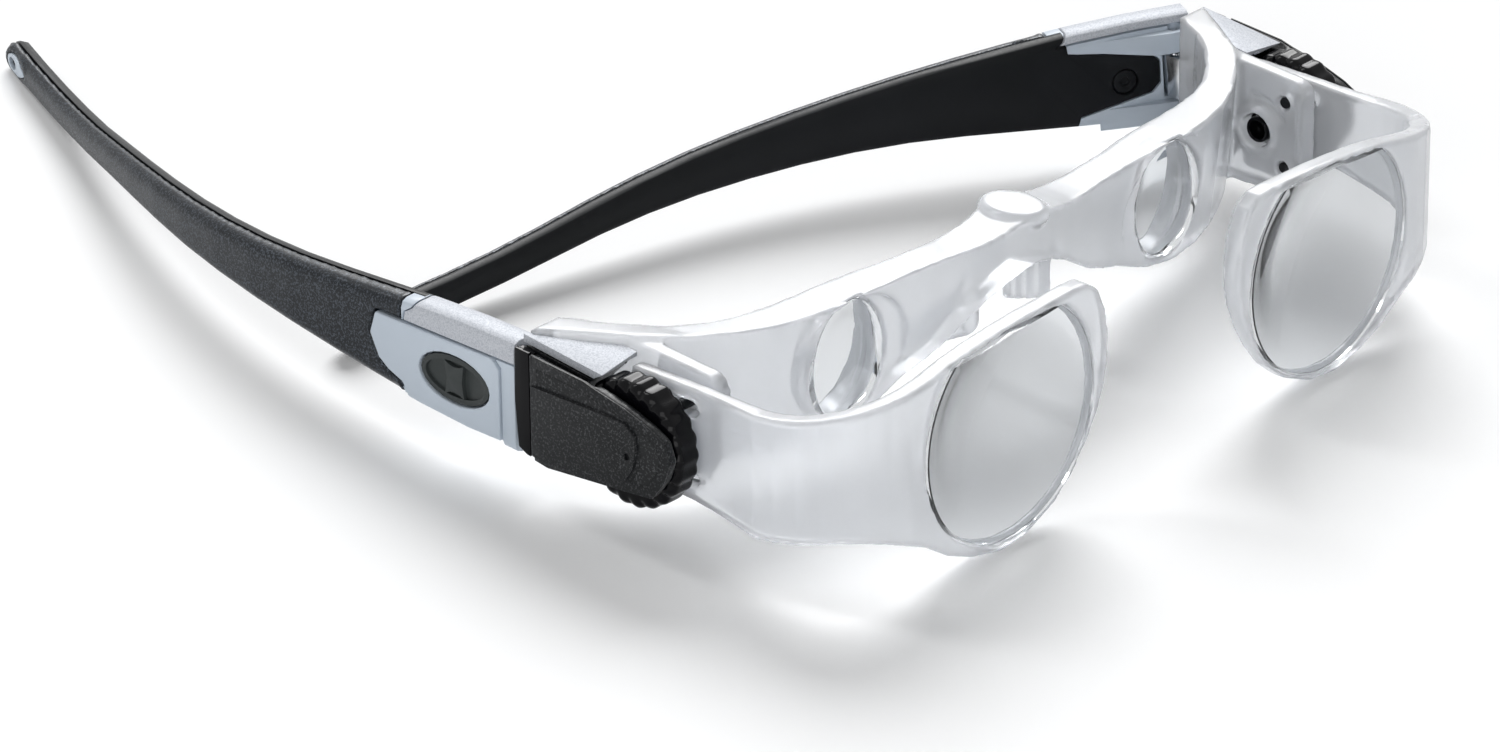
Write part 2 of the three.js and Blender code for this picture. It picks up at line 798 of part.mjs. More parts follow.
function guideSlots() {
  const half = guidePinDiameter / 2 + seatGap;
  const reach = slideTravel + half;
  return guidePinPlaces().map(([y, z]) => {
    const slot = rounded(y - reach, y + reach, z - half, z + half, half * slotCorner_share);
    return prism(slot, 'x', slideInnerCut, slideOuterCut);
  });
}

// The lens's flat top falls with the carrier's top edge: little towards the nose, more towards the side
const flatTowardsNose_share = 0.02;
const flatTowardsSide_share = 0.11;
const frontRims_shares = [0.35, 0.75, 1];

function frontLensOutline(radius, rim) {
  const top = frontRise - rim;
  const points = [];
  for (let i = 0; i < frontLensSteps; i += 1) {
    const turn = i / frontLensSteps * 2 * Math.PI;
    const across = radius * Math.cos(turn);
    const fall_share = across > 0 ? flatTowardsSide_share : flatTowardsNose_share;
    const flat = top - fall_share * Math.abs(across);
    points.push([lensOffset + across, Math.min(radius * Math.sin(turn), flat)]);
  }
  return points;
}

function objectiveCarrier() {
  const face = -frontFaceDistance;
  const seat = face + frontLensEdge + seatGap;
  const pocket = prism(frontLensOutline(frontLensRadius, topRim), 'y', face - overrun, seat);
  const sight = frontLensOutline(frontLensRadius - frontSeatLip, topRim + frontSeatLip);
  const through = prism(sight, 'y', face - overrun, face + overrun * 2);
  return cut(carrierBlank(), pocket, through, driveSlot(), ...guideSlots());
}

function objectiveLens() {
  const radius = frontLensRadius - seatGap;
  const top = frontRise - topRim - seatGap;
  const face = -frontFaceDistance;
  const back = face + frontLensEdge;
  const domeHeight = (share) => 1 - share * share;
  const ringAt = (share, y) => frontLensOutline(radius, topRim + seatGap).map(([x, z]) => [
    lensOffset + (x - lensOffset) * share, y, z * share,
  ]);
  const inside = 1 - frontSeatLip / top;
  const rings = frontRims_shares.map((share) => ringAt(share, face - frontLensBulge * domeHeight(share)));
  const rear = [...frontRims_shares].reverse().map((share) => (
    ringAt(share * inside, back + frontLensBackBulge * domeHeight(share))
  ));
  return loft([...rings, ringAt(1, back), ...rear]);
}

// Housing block beside the wing, with its cover and cap

function capTop(x, y) {
  return capHeight - capSlopeAcross * (x - bracketOffset) + capSlopeAlong * (y - axleBehind * 2);
}

function slopedSlab(outline, lower, upper) {
  const shape = outline.map(([x, y]) => new THREE.Vector2(x, y));
  const faces = THREE.ShapeUtils.triangulateShape(shape, []);
  const count = outline.length;
  const points = [
    ...outline.flatMap(([x, y]) => [x, y, lower(x, y)]),
    ...outline.flatMap(([x, y]) => [x, y, upper(x, y)]),
  ];
  const triangles = [];
  for (const [a, b, c] of faces) {
    triangles.push(c, b, a, a + count, b + count, c + count);
  }
  for (let i = 0; i < count; i += 1) {
    const next = (i + 1) % count;
    triangles.push(i, next, next + count, i, next + count, i + count);
  }
  const geometry = new THREE.BufferGeometry();
  geometry.setAttribute('position', new THREE.Float32BufferAttribute(points, 3));
  geometry.setIndex(triangles);
  return solid(geometry);
}

const wingFace_shares = [[0.903, 0.528], [0.955, 0.778], [1, 1]];
const wingGap = seatGap * 1.6;
const wingGapAhead = seatGap * 0.6;

function besideWing(front, outer, rear) {
  const [near, half, far] = scaled(wingFace_shares, wingOffset, wingReach, wingGap, -wingGapAhead);
  const inner = slideInner + runningGap;
  return [
    [inner, front], [outer, front - runningGap], [outer, rear],
    [far[0], rear], half, near, [inner, near[1] - runningGap],
  ];
}

function wheelPocket() {
  const width = (wheelRadius + wheelPocketGap) * 2;
  const outline = oval(axleBehind, -axleBelow, width, width, pocketSteps);
  return prism(outline, 'x', slideOuter - overrun, coverInner);
}

// Room for the carrier's tail at its rearmost
function slideRoom(top) {
  const rear = tailY + slideTravel + seatGap;
  return box(slideInner - overrun, slideOuter + runningGap, 0, rear, -frontDrop, top);
}

function housingBody() {
  const outline = besideWing(blockStart, wheelOuter, wingReach);
  const block = slopedSlab(outline, () => -housingDrop, (x, y) => capTop(x, y) - capThickness - seatGap);
  return cut(block, wheelPocket(), slideRoom(frontRise));
}

function topCap() {
  const outline = besideWing(capStart, capOuter, capRear);
  const slab = slopedSlab(outline, (x, y) => capTop(x, y) - capThickness, capTop);
  const tailTop = Math.max(...tailHeights_shares.map(([, rise]) => rise)) * frontRise;
  return cut(slab, wheelPocket(), slideRoom(tailTop + seatGap));
}

// Shares of the cover's reach ahead of and behind the axle, and of the cap's height
const coverOutline_shares = [
  [1.02, 0.93], [0.72, 0.89], [0.32, 0.83], [0.2, 0.77],
  [-0.08, 0.66], [-0.33, 0.5], [-0.47, 0.36], [-0.53, 0.06],
  [-0.47, -0.26], [-0.35, -0.57], [-0.1, -0.62], [0.15, -0.66],
  [0.7, -0.75], [0.92, -0.68], [1, -0.6], [1.03, 0.1],
];
const nameplate_shares = [
  [0.96, 0.46], [0.55, 0.46], [0.1, 0.46], [-0.1, 0.44],
  [-0.2, 0.3], [-0.21, 0.1], [-0.18, -0.2], [-0.1, -0.44],
  [0.15, -0.54], [0.7, -0.62], [0.92, -0.54], [0.97, -0.3],
];

function coverAt(shares) {
  return scaled(shares, wingReach - axleBehind, capHeight, axleBehind, 0);
}

function housingCover() {
  const plate = prism(coverAt(coverOutline_shares), 'x', coverInner, coverOuter - nameplateRaise);
  const raised = prism(coverAt(nameplate_shares), 'x', coverInner, coverOuter);
  const capRoom = besideWing(capStart - seatGap, capOuter + seatGap, capRear);
  const capBottom = (x, y) => capTop(x, y) - capThickness - seatGap;
  const underCap = slopedSlab(capRoom, capBottom, (x, y) => capTop(x, y) + overrun);
  const room = axleDiameter + seatGap * 2;
  const axleSeat = oval(axleBehind, -axleBelow, room, room, pinSteps);
  const mark = oval(axleBehind / 2, -axleBelow, axleDiameter / 2, axleDiameter / 2, pinSteps);
  return cut(
    joined(plate, raised),
    underCap,
    prism(axleSeat, 'x', coverInner - overrun, axleEnd + seatGap),
    prism(mark, 'x', coverOuter - nameplateRaise * 1.5, coverOuter + overrun),
  );
}

// Temples: everything is taken out of one swept blank, in layers measured from its outer face

const templePath_shares = [
  [0, 0], [0.003, 0.087], [0.008, 0.174], [0.021, 0.261], [0.051, 0.348], [0.109, 0.434], [0.192, 0.518],
  [0.301, 0.601], [0.429, 0.682], [0.567, 0.762], [0.711, 0.841], [0.855, 0.921], [1, 1],
];
const templeBottom_shares = [
  -0.454, -0.405, -0.327, -0.24, -0.166, -0.119, -0.09, -0.072, -0.08, -0.125, -0.165, -0.18, -0.17,
];
const templeTop_shares = [
  0.555, 0.56, 0.529, 0.48, 0.428, 0.384, 0.346, 0.303, 0.243, 0.165, 0.115, 0.1, 0.104,
];
const tipRound_shares = [0.4, 0.75, 0.97];
const templePath = new THREE.CatmullRomCurve3(templePath_shares.map(([inset, reach]) => (
  new THREE.Vector3(templeMiddle - inset * tipInset, buttY + reach * templeLength, 0)
)));

function along(list, share) {
  const curve = new THREE.SplineCurve(list.map((value, i) => new THREE.Vector2(i, value)));
  return curve.getPoint(share).y;
}

function templeStations() {
  const stations = [];
  for (let i = 0; i <= templeSteps; i += 1) {
    const share = i / templeSteps;
    const tangent = templePath.getTangent(share);
    stations.push({
      place: templePath.getPoint(share),
      out: new THREE.Vector3(tangent.y, -tangent.x, 0).normalize(),
      thickness: THREE.MathUtils.lerp(clipThickness, tipThickness, share),
      bottom: along(templeBottom_shares, share) * clipHeight,
      top: along(templeTop_shares, share) * clipHeight,
    });
  }
  const end = stations[templeSteps];
  const tangent = templePath.getTangent(1);
  const half = (end.top - end.bottom) / 2;
  for (const turn of tipRound_shares) {
    const reach = Math.sin(turn * Math.PI / 2) * half;
    const height = Math.cos(turn * Math.PI / 2) * half;
    stations.push({
      ...end,
      place: end.place.clone().addScaledVector(tangent, reach),
      bottom: end.bottom + half - height,
      top: end.top - half + height,
    });
  }
  return stations;
}

const stations = templeStations();

function pastEnd(station, share, reach) {
  return { ...station, place: station.place.clone().addScaledVector(templePath.getTangent(share), reach) };
}

// The same stations, led on ahead of the butt and behind the tip for cutting
const cutStations = [
  pastEnd(stations[0], 0, -overrun),
  ...stations,
  pastEnd(stations[stations.length - 1], 1, overrun),
];

// A sweep between two depths from the outer face and between two heights
function templeSweep(list, depthFrom, depthTo, bottomOf, topOf, ease) {
  const rings = list.map((station) => {
    const from = depthFrom(station);
    const to = depthTo(station);
    const low = bottomOf(station);
    const high = topOf(station);
    const round = Math.min(ease, (high - low) * easeLimit_share);
    const half = station.thickness / 2;
    const section = easedSection(half - to, half - from, low, high, round, 2);
    return section.map(([out, z]) => [
      station.place.x + station.out.x * out,
      station.place.y + station.out.y * out,
      z,
    ]);
  });
  return loft(rings);
}

function templeLayer(depthFrom, depthTo, bottomOf, topOf, ease = 0) {
  return templeSweep(cutStations, depthFrom, depthTo, bottomOf, topOf, ease);
}

const atOuter = () => 0;
const wayOut = () => -overrun;
const wayIn = ({ thickness }) => thickness + overrun;
const farBelow = () => -clipHeight;
const farAbove = () => clipHeight;

function templeBlank() {
  const full = ({ thickness }) => thickness;
  return templeSweep(stations, atOuter, full, ({ bottom }) => bottom, ({ top }) => top, edgeRound);
}

// The slanted rear end of the silver strip, in shares of its thickness
const shellEnd_shares = [[0, -1.7], [-0.5, 1], [-1.6, 1.7], [-2.1, 2.5]];

function shellRegion(grow) {
  const strip = templeLayer(wayOut, wayIn, ({ top }) => top - shellTop - grow, farAbove);
  const wall = templeLayer(wayOut, () => shellWall + grow, () => seamHeight - grow, farAbove);
  const end = scaled(shellEnd_shares, shellTop, shellTop, buttY + shellLength + grow, seamHeight);
  const outline = [
    [buttY - overrun, seamHeight - shellWall * 2],
    ...end,
    [end[3][0], clipHeight],
    [buttY - overrun, clipHeight],
  ];
  const length = prism(outline, 'x', templeInner - clipThickness, templeOuter + clipThickness);
  return joined(strip, wall).intersect(length);
}

const panelEdge_shares = [
  [0.955, 0.93], [1, 0.36], [0.935, -0.2], [0.861, -0.42], [0.75, -0.6], [0.69, -1.05],
];

function panelRegion(grow, depth) {
  const start = buttY + panelStart - grow;
  const high = seamHeight - seatGap + grow;
  const [corner, ...rest] = scaled(panelEdge_shares, panelLength, seamHeight, buttY + panelStart, 0);
  const outline = [
    [start, -clipHeight],
    [start, high - shellTop],
    [start + shellTop, high],
    [corner[0] + grow, corner[1] + grow],
    ...rest.map(([y, z]) => [y + grow, z - grow]),
    [rest[rest.length - 1][0] + grow, -clipHeight],
  ];
  const region = prism(outline, 'x', templeInner - clipThickness, templeOuter + clipThickness);
  return region.intersect(templeLayer(wayOut, () => depth, farBelow, farAbove));
}

function buttonRegion(grow, from, to) {
  const outline = oval(buttY + buttonBehind, 0, buttonWidth + grow * 2, buttonHeight + grow * 2);
  const rings = templeLayer(() => from, () => to, farBelow, farAbove);
  return prism(outline, 'x', templeInner - clipThickness, templeOuter + clipThickness).intersect(rings);
}

function tongueRegion(grow) {
  const start = buttY + tongueStart - grow;
  const root = buttY + shellLength - shellWall;
  const tip = tongueTipHeight / 2 + grow;
  const wide = tongueRootHeight / 2 + grow;
  const lift = tongueRound / 2;
  const outline = [
    [start, lift - tip + tongueRound],
    [start + tongueRound, lift - tip],
    [root - tongueRound * 2, lift - wide],
    [root, -clipHeight],
    [root + overrun, -clipHeight],
    [root + overrun, clipHeight],
    [root, clipHeight],
    [root - tongueRound, lift + wide + seatGap],
    [root - tongueRound * 2, lift + wide],
    [start + tongueRound, lift + tip],
    [start, lift + tip - tongueRound],
  ];
  return prism(outline, 'x', templeInner - clipThickness, templeOuter + clipThickness);
}

const armStart = buttY + shellLength + seatGap;

function behind(y) {
  return box(-templeOuter, templeOuter * 2, y, buttY + templeLength * 2, -clipHeight * 2, clipHeight * 2);
}

function innerLayer(depth) {
  return templeLayer(({ thickness }) => thickness - depth, wayIn, farBelow, farAbove);
}

function tipHole() {
  const end = stations[templeSteps];
  const middle = (end.top + end.bottom) / 2;
  const holeY = end.place.y + tipHoleHeight - tipHoleFromEnd;
  const outline = oval(holeY, middle, tipHoleWidth, tipHoleHeight, pinSteps);
  return prism(outline, 'x', 0, templeOuter);
}

// How high the inlay's pointed end starts, as a share of its height
const inlayPoint_share = 0.25;

function inlayRegion(grow) {
  const end = stations[templeSteps];
  const middle = (end.top + end.bottom) / 2;
  const rear = end.place.y + tipHoleHeight - tipHoleFromEnd + tipHoleWidth / 2 + inlayDepth;
  const outline = [];
  for (let i = 0; i < inlaySteps; i += 1) {
    const turn = i / inlaySteps * 2 * Math.PI;
    const taper = THREE.MathUtils.lerp(inlayPoint_share, 1, Math.sqrt((1 + Math.cos(turn)) / 2));
    const u = rear - inlayLength / 2 + (inlayLength / 2 + grow) * Math.cos(turn);
    const v = middle + (inlayHeight / 2 + grow) * Math.sin(turn) * taper;
    outline.push([u, v]);
  }
  const layer = templeLayer(wayOut, () => inlayDepth + grow, farBelow, farAbove);
  return prism(outline, 'x', 0, templeOuter).intersect(layer);
}

function templeShell() {
  return templeBlank().intersect(shellRegion(0));
}

function hingeRidge(low) {
  const start = buttY + seatGap * 2;
  const outline = [
    [templeInner + seatGap, start],
    [templeInner - ridgeDepth, start],
    [templeInner - ridgeDepth, hingeY + knuckleDiameter / 2],
    [templeInner + seatGap / 3, start + ridgeLength],
    [templeInner + seatGap, start + ridgeLength],
  ];
  return prism(outline, 'z', low, low + ridgeWidth);
}

function templeClip(lean) {
  const knuckleRoom = knuckleHeight / 2 + seatGap;
  const slotOuter = hingeX + knuckleDiameter / 2 + seatGap;
  const slotRear = hingeY + knuckleDiameter / 2 + seatGap;
  const slot = box(templeInner - overrun, slotOuter, buttY - overrun, slotRear, -knuckleRoom, knuckleRoom);
  const length = behind(armStart - seatGap);
  const ridges = [hingeRidge(knuckleRoom + seatGap), hingeRidge(-knuckleRoom - seatGap - ridgeWidth)];
  const tonguePocket = tongueRegion(linerGap).intersect(innerLayer(linerThickness + linerGap));
  const block = joined(cut(templeBlank(), length), ...ridges);
  const body = cut(block, shellRegion(seatGap), panelRegion(seatGap, panelDepth + seatGap));
  const pinHole = hingeRod(hingePinDiameter + seatGap * 2, -pinDrop - seatGap, clipHeight, lean);
  const well = buttonRegion(seatGap, 0, buttonThickness + buttonTravel + seatGap);
  return cut(body, tonguePocket, slot, pinHole, well);
}

function hingePin(lean) {
  return hingeRod(hingePinDiameter, -pinDrop, pinRise, lean);
}

function outerPanel() {
  const lowest = ({ bottom }) => Math.max(bottom + seatGap, -panelDrop);
  const layer = templeLayer(() => -panelRaise, () => panelDepth, lowest, farAbove, panelRaise);
  return cut(panelRegion(0, panelDepth).intersect(layer), buttonRegion(seatGap, -overrun, overrun));
}

// The button's grip bar, waisted in the middle, in shares of its half length and half height
const grip_shares = [
  [[-1, 1]], [[0, 0.55], [1, 1]], [[0.8, 0]], [[1, -1]], [[0, -0.55], [-1, -1]], [[-0.8, 0]],
];
const gripSize_shares = [0.14, 0.36];

function releaseButton() {
  const middle = buttY + buttonBehind;
  const acrossAll = (shape) => prism(shape, 'x', templeOuter - clipThickness, templeOuter + overrun);
  const plug = buttonRegion(0, 0, buttonThickness);
  const floor = oval(middle, 0, buttonWidth - buttonDish * 3, buttonHeight - buttonDish * 3);
  const dish = acrossAll(floor).intersect(templeLayer(wayOut, () => buttonDish, farBelow, farAbove));
  const [across, upward] = gripSize_shares;
  const grip = drawn(grip_shares, buttonWidth * across, buttonHeight * upward, middle);
  const gripLayer = templeLayer(() => -panelRaise / 2, () => buttonThickness / 2, farBelow, farAbove);
  return joined(cut(plug, dish), acrossAll(grip).intersect(gripLayer));
}

function templeArm() {
  const kept = templeBlank().intersect(behind(armStart));
  const panelSeat = panelRegion(seatGap, panelDepth + seatGap);
  const tools = [shellRegion(seatGap), panelSeat, innerLayer(linerThickness + linerGap)];
  return cut(kept, ...tools, tipHole(), inlayRegion(seatGap / 2));
}

function screwRod(diameter, depthFrom, depthTo) {
  const x = (depth) => templeInner + depth;
  return prism(oval(buttY + screwBehind, 0, diameter, diameter, pinSteps), 'x', x(depthFrom), x(depthTo));
}

function armLiner() {
  const layer = templeBlank().intersect(innerLayer(linerThickness));
  const reach = joined(tongueRegion(0), behind(buttY + shellLength));
  const hole = screwRod(screwShankDiameter + seatGap * 2, -overrun, linerThickness + linerGap);
  const sink = screwRod(screwHeadDiameter + seatGap * 2, -overrun, screwHead + seatGap);
  return cut(layer.intersect(reach), shellRegion(seatGap), hole, sink, tipHole());
}

function armScrew() {
  const head = screwRod(screwHeadDiameter, seatGap / 2, screwHead);
  const shank = screwRod(screwShankDiameter, seatGap, linerThickness);
  const hexagon = oval(buttY + screwBehind, 0, screwSocket, screwSocket, socketSides);
  return cut(joined(head, shank), prism(hexagon, 'x', templeInner - overrun, templeInner + socketDepth));
}

function tipInlay() {
  return cut(templeBlank().intersect(inlayRegion(0)), tipHole());
}

// Assembly

function node(name, body, look) {
  const mesh = new THREE.Mesh(geometryOf(body), new THREE.MeshStandardMaterial(finish[look]));
  mesh.name = name;
  return mesh;
}

function sided(side, name, body, look, y = 0, z = 0) {
  const mesh = node(`${name}_${side}`, side === 'left' ? body : mirrored(body), look);
  mesh.position.set(0, y, z);
  return mesh;
}

function driveGroup(side) {
  const group = new THREE.Group();
  group.add(sided(side, 'objective_carrier', objectiveCarrier(), 'clear'));
  group.add(sided(side, 'objective_lens', objectiveLens(), 'lens'));
  group.add(sided(side, 'focus_wheel', focusWheel(), 'gloss', axleBehind, -axleBelow));
  group.add(sided(side, 'wheel_axle', wheelAxle(), 'steel', axleBehind, -axleBelow));
  const [upper, lower] = guidePinPlaces();
  group.add(sided(side, 'guide_pin_upper', guidePin(), 'black', ...upper));
  group.add(sided(side, 'guide_pin_lower', guidePin(), 'black', ...lower));
  return group;
}

function housingGroup(side, lean) {
  const group = new THREE.Group();
  group.add(sided(side, 'housing_body', housingBody(), 'black'));
  group.add(sided(side, 'housing_cover', housingCover(), 'black'));
  group.add(sided(side, 'top_cap', topCap(), 'silver'));
  group.add(sided(side, 'hinge_leaf', hingeLeaf(lean), 'steel'));
  return group;
}

function templeGroup(side, lean, fold) {
  const sign = side === 'left' ? 1 : -1;
  const pieces = new THREE.Group();
  pieces.add(sided(side, 'temple_clip', templeClip(lean), 'blueGrey'));
  pieces.add(sided(side, 'temple_shell', templeShell(), 'silver'));
  pieces.add(sided(side, 'outer_panel', outerPanel(), 'blueGrey'));
  pieces.add(sided(side, 'release_button', releaseButton(), 'darkGrey'));
  pieces.add(sided(side, 'temple_arm', templeArm(), 'graphite'));
  pieces.add(sided(side, 'arm_liner', armLiner(), 'black'));
  pieces.add(sided(side, 'arm_screw', armScrew(), 'black'));
  pieces.add(sided(side, 'tip_inlay', tipInlay(), 'blueGrey'));
  pieces.add(sided(side, 'hinge_pin', hingePin(lean), 'steel'));
  pieces.position.set(-sign * hingeX, -hingeY, 0);
  const turning = new THREE.Group();
  const leanAngle = THREE.MathUtils.degToRad(lean);
  const axis = new THREE.Vector3(-sign * Math.sin(leanAngle), 0, Math.cos(leanAngle));
  turning.quaternion.setFromAxisAngle(axis, sign * THREE.MathUtils.degToRad(fold));
  turning.position.set(sign * hingeX, hingeY, 0);
  turning.add(pieces);
  return turning;
}

const glasses = new THREE.Group();
glasses.add(node('eyepiece_frame', eyepieceFrame(), 'clear'));
for (const side of ['left', 'right']) {
  const lean = side === 'left' ? leftPinLean : -rightPinLean;
  glasses.add(sided(side, 'eyepiece_lens', eyepieceLens(), 'lens'));
  glasses.add(driveGroup(side));
  glasses.add(housingGroup(side, lean));
  glasses.add(templeGroup(side, lean, side === 'left' ? leftFold : 0));
}

// The glasses rest on the front lenses' lower edges and the open temple's tip
const tipEnd = stations[templeSteps];
const restRise = tipEnd.bottom + frontDrop;
const restReach = tipEnd.place.y + frontFaceDistance - carrierThickness;
glasses.rotation.x = -Math.atan2(restRise, restReach);

const group = new THREE.Group();
group.add(glasses);
group.updateMatrixWorld(true);
const bounds = new THREE.Box3().setFromObject(group, true);
const middle = bounds.getCenter(new THREE.Vector3());
glasses.position.set(-middle.x, -middle.y, -bounds.min.z);

export default group;
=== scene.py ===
# Binocular glasses at rest on a pale table: a satin clear frame, two large front lenses,
# black knurled focusing wheels and folding temples with a graphite arm each.
import json
import math

import bpy
from mathutils import Matrix, Vector
from mathutils.bvhtree import BVHTree

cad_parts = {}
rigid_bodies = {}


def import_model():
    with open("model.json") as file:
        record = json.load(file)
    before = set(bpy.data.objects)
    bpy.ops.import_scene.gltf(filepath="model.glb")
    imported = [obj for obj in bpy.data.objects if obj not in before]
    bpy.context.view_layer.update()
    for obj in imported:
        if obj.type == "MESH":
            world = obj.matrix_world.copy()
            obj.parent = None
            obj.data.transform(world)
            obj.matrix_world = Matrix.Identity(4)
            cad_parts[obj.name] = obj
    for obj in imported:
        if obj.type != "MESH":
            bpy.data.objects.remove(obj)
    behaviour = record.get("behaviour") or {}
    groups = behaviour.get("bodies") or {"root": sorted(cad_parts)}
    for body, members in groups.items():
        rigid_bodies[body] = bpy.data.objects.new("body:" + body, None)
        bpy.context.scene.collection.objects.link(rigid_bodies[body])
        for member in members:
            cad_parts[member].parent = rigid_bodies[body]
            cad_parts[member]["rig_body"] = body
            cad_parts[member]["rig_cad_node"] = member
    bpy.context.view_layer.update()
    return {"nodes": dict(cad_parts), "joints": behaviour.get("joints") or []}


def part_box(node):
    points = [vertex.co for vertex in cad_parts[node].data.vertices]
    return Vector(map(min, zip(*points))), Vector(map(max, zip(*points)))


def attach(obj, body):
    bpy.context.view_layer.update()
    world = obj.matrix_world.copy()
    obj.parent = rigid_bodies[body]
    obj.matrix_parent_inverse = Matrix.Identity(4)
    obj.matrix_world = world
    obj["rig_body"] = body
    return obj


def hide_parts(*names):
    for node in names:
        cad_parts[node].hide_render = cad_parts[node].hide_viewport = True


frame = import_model()

MM = 0.001
SIDES = {"left": 1, "right": -1}

# How the worn glasses lie on the table: tipped about X, then moved
joints = {joint["name"]: joint for joint in frame["joints"]}
slide = joints["focus_slide_left"]["axis"]
WORN_HINGE = Vector((65, 24.4, 0)) * MM
tip_angle = math.atan2(slide[2], slide[1])
TIPPED = Matrix.Rotation(tip_angle, 4, "X")
LYING = Matrix.Translation(Vector(joints["temple_fold_left"]["pos_m"]) - TIPPED @ WORN_HINGE) @ TIPPED


# Camera, as the photograph was taken: the direction it looks from, its distance and its lens

CAMERA_AZIMUTH = math.radians(-47.75)
CAMERA_HEIGHT = math.radians(26.26)
CAMERA_ROLL = math.radians(-0.6)
CAMERA_PLACE = Vector((-690.3, -582.2, 431.0)) * MM
CAMERA_NEAR = 50 * MM
PHOTO_WIDTH = 1500
FOCAL_PIXELS = 7699.4
SENSOR = 36

back = Vector((
    math.sin(CAMERA_AZIMUTH) * math.cos(CAMERA_HEIGHT),
    -math.cos(CAMERA_AZIMUTH) * math.cos(CAMERA_HEIGHT),
    math.sin(CAMERA_HEIGHT),
))
level = Vector((math.cos(CAMERA_AZIMUTH), math.sin(CAMERA_AZIMUTH), 0))
over = back.cross(level)
right = level * math.cos(CAMERA_ROLL) + over * math.sin(CAMERA_ROLL)
up = over * math.cos(CAMERA_ROLL) - level * math.sin(CAMERA_ROLL)
looking = Matrix((right, up, back)).transposed().to_4x4()

bpy.ops.object.camera_add()
camera = bpy.context.object
camera.data.sensor_width = SENSOR
camera.data.lens = SENSOR * FOCAL_PIXELS / PHOTO_WIDTH
camera.matrix_world = LYING @ Matrix.Translation(CAMERA_PLACE) @ looking
camera.data.clip_start = CAMERA_NEAR
bpy.context.scene.camera = camera


# Finishes. Sizes of grain and depths of bump are in mm.

# Where the noise starts and stops to count, as it seldom leaves its middle
NOISE_RANGE = (0.3, 0.7)
BROAD_GRAINS = 40
ROUGH_SPREAD = (0.85, 1.15)
# Flecks: their lighter colour is painted glints; their roughness and bump are the surface's own
FLAKE_GRAIN = 0.22
PAINTED_GLINT_EDGE = 0.12
FLAKE_ROUGH_SPREAD = (1.2, 0.75)
FLAKE_BUMP = (0.12, 0.02)
CLEAR_PATCH = 9
CLEAR_LIGHTER = 1.03

FINISHES = {}


def wired(name):
    finish = bpy.data.materials.new(name)
    finish.use_nodes = True
    FINISHES[name] = finish
    nodes = finish.node_tree.nodes
    return nodes, finish.node_tree.links, nodes["Principled BSDF"]


def set_values(shader, **values):
    for key, value in values.items():
        shader.inputs[key.replace("_", " ")].default_value = value


def noise(nodes, links, size, detail=2, rough=0.5):
    place = nodes.new("ShaderNodeTexCoord")
    texture = nodes.new("ShaderNodeTexNoise")
    texture.inputs["Scale"].default_value = 1 / (size * MM)
    texture.inputs["Detail"].default_value = detail
    texture.inputs["Roughness"].default_value = rough
    links.new(place.outputs["Object"], texture.inputs["Vector"])
    return texture.outputs["Fac"]


def coloured(nodes, links, shader, source, first, second, places=NOISE_RANGE):
    """Blends the base colour from first to second between two places of the source"""
    colours = nodes.new("ShaderNodeValToRGB")
    for element, place, colour in zip(colours.color_ramp.elements, places, (first, second)):
        element.position = place
        element.color = (*colour, 1)
    links.new(source, colours.inputs["Fac"])
    links.new(colours.outputs["Color"], shader.inputs["Base Color"])


def spread(nodes, links, source, low, high, places=NOISE_RANGE):
    scaled = nodes.new("ShaderNodeMapRange")
    scaled.inputs["From Min"].default_value, scaled.inputs["From Max"].default_value = places
    scaled.inputs["To Min"].default_value = low
    scaled.inputs["To Max"].default_value = high
    links.new(source, scaled.inputs["Value"])
    return scaled.outputs["Result"]


def bumped(nodes, links, shader, source, strength, depth):
    bump = nodes.new("ShaderNodeBump")
    bump.inputs["Strength"].default_value = strength
    bump.inputs["Distance"].default_value = depth * MM
    links.new(source, bump.inputs["Height"])
    links.new(bump.outputs["Normal"], shader.inputs["Normal"])


def plastic(name, dark, light, rough, grain, strength, depth, **values):
    """Moulded plastic: colour, sheen and bump from one grain size"""
    nodes, links, shader = wired(name)
    fine = noise(nodes, links, grain)
    broad = noise(nodes, links, grain * BROAD_GRAINS)
    coloured(nodes, links, shader, broad, dark, light)
    low, high = (rough * share for share in ROUGH_SPREAD)
    links.new(spread(nodes, links, fine, low, high), shader.inputs["Roughness"])
    bumped(nodes, links, shader, fine, strength, depth)
    set_values(shader, **values)


def flecked_with_painted_glints(name, ground, painted_glint, share, rough, grain=FLAKE_GRAIN, **values):
    """Lacquer or moulding with fine bright flecks painted into its colour, as glints where its surface
    sparkles
    """
    nodes, links, shader = wired(name)
    fine = noise(nodes, links, grain, detail=3, rough=0.7)
    coloured(nodes, links, shader, fine, ground, painted_glint, (share, share + PAINTED_GLINT_EDGE))
    low, high = (rough * share for share in FLAKE_ROUGH_SPREAD)
    links.new(spread(nodes, links, fine, low, high), shader.inputs["Roughness"])
    bumped(nodes, links, shader, fine, *FLAKE_BUMP)
    set_values(shader, **values)


def clear(name, tint_and_painted_shade, rough, milk, **values):
    """See-through plastic, satin where rough, with a little milk in it"""
    nodes, links, shader = wired(name)
    broad = noise(nodes, links, CLEAR_PATCH)
    coloured(nodes, links, shader, broad, tint_and_painted_shade, [min(1, part * CLEAR_LIGHTER) for part in tint_and_painted_shade])
    set_values(shader, Roughness=rough, Transmission_Weight=1 - milk, **values)


